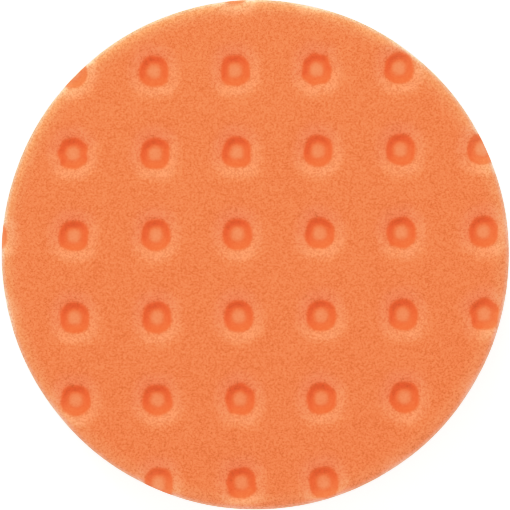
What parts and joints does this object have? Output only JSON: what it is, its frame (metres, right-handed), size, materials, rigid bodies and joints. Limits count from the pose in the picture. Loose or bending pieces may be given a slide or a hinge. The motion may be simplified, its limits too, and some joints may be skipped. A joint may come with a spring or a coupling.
{
  "type": "polishing pad",
  "caption": "Round orange foam polishing pad with a grid of pressed pockets in its face, a bevelled side and a loop-pile back that grips a hook backing plate.",
  "frame": {"origin": "middle of the loop back's underside, which is the centre of the backing plate it presses onto", "axes": "+Z out of the polishing face, away from the machine; the rows of pockets run nearly along +X"},
  "size_m": [0.165, 0.165, 0.032],
  "materials": {
    "foam": "open-cell polyurethane foam, matte, cut surface with fine pores, pockets pressed to a smoother skin",
    "film": "amber hot-melt adhesive film",
    "ground_cloth": "knitted polyamide ground cloth, light grey",
    "loops": "brushed polyamide loop pile, light grey"
  },
  "bodies": {
    "root": {"foam_body": "foam", "bond_film": "film", "loop_cloth": "ground_cloth", "loop_pile": "loops"}
  },
  "joints": []
}
